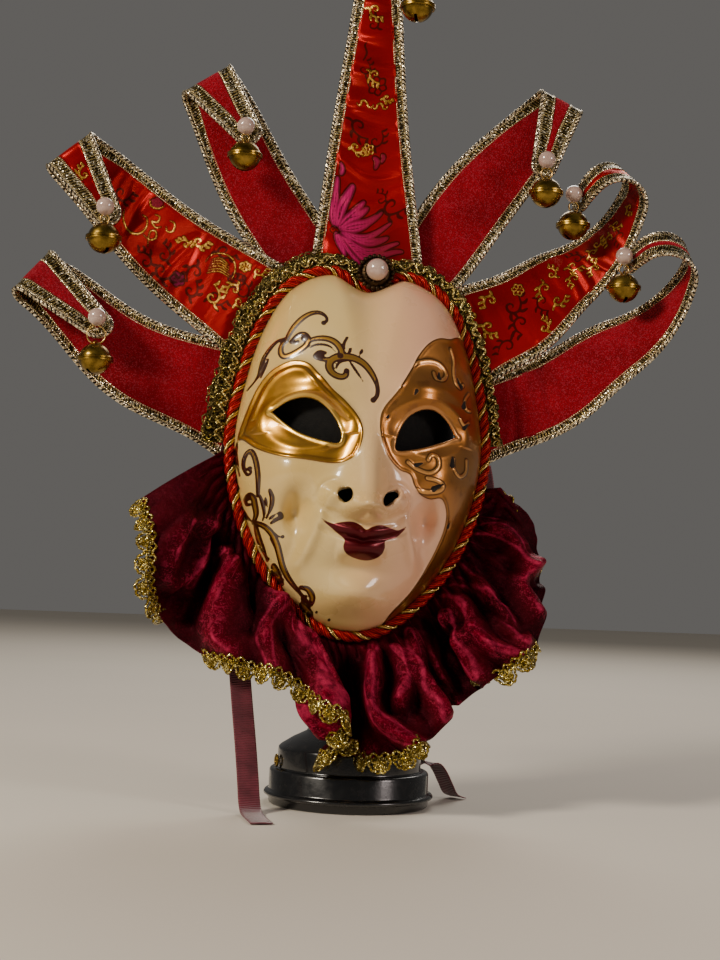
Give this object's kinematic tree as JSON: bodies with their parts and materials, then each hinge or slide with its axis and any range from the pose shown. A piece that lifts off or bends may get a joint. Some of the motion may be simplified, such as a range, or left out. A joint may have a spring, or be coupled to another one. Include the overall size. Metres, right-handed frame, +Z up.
{
  "type": "harlequin mask",
  "caption": "Jester mask with fanned cap rays, bells and a velvet ruff, resting on its round black display stand with a head form.",
  "frame": {"origin": "centre of the round base on its underside", "axes": "+Z up, the face looks along -Y, +X is at the right of someone who faces the mask"},
  "size_m": [0.4247, 0.179, 0.5564],
  "materials": {
    "porcelain": "glossy painted paper shell, cream",
    "rope": "red satin twist with a gold strand",
    "gold_lace": "metallic gold lace",
    "silver_braid": "metallic silver-gold braid",
    "velvet": "red velvet",
    "brocade": "red satin with woven gold scrolls",
    "ruff_velvet": "burgundy crushed velvet",
    "ribbon_weave": "ribbed burgundy ribbon",
    "pearl": "pearl lustre",
    "brass": "polished brass",
    "gold_wire": "thin bright wire",
    "bronze": "dark bronze",
    "black": "gloss black"
  },
  "bodies": {
    "root": {"stand_base": "black", "stand_neck": "black", "head_form": "black", "stand_catch": "brass", "face_shell": "porcelain", "rim_rope": "rope", "rim_lace": "gold_lace", "crown_setting": "bronze", "crown_pearl": "pearl", "ray_left_low": "velvet", "braid_left_low": "silver_braid", "pearl_left_low": "pearl", "link_left_low": "gold_wire", "bell_left_low": "brass", "ray_left_mid": "brocade", "braid_left_mid": "silver_braid", "pearl_left_mid": "pearl", "link_left_mid": "gold_wire", "bell_left_mid": "brass", "ray_left_top": "velvet", "braid_left_top": "silver_braid", "pearl_left_top": "pearl", "link_left_top": "gold_wire", "bell_left_top": "brass", "ray_centre": "brocade", "braid_centre": "silver_braid", "pearl_centre": "pearl", "link_centre": "gold_wire", "bell_centre": "brass", "ray_right_top": "velvet", "braid_right_top": "silver_braid", "pearl_right_top": "pearl", "link_right_top": "gold_wire", "bell_right_top": "brass", "ray_right_mid": "brocade", "braid_right_mid": "silver_braid", "pearl_right_mid": "pearl", "link_right_mid": "gold_wire", "bell_right_mid": "brass", "ray_right_low": "velvet", "braid_right_low": "silver_braid", "pearl_right_low": "pearl", "link_right_low": "gold_wire", "bell_right_low": "brass", "ruff": "ruff_velvet", "ruff_lace": "gold_lace", "tie_ribbon_left": "ribbon_weave", "tie_ribbon_right": "ribbon_weave"}
  },
  "joints": []
}
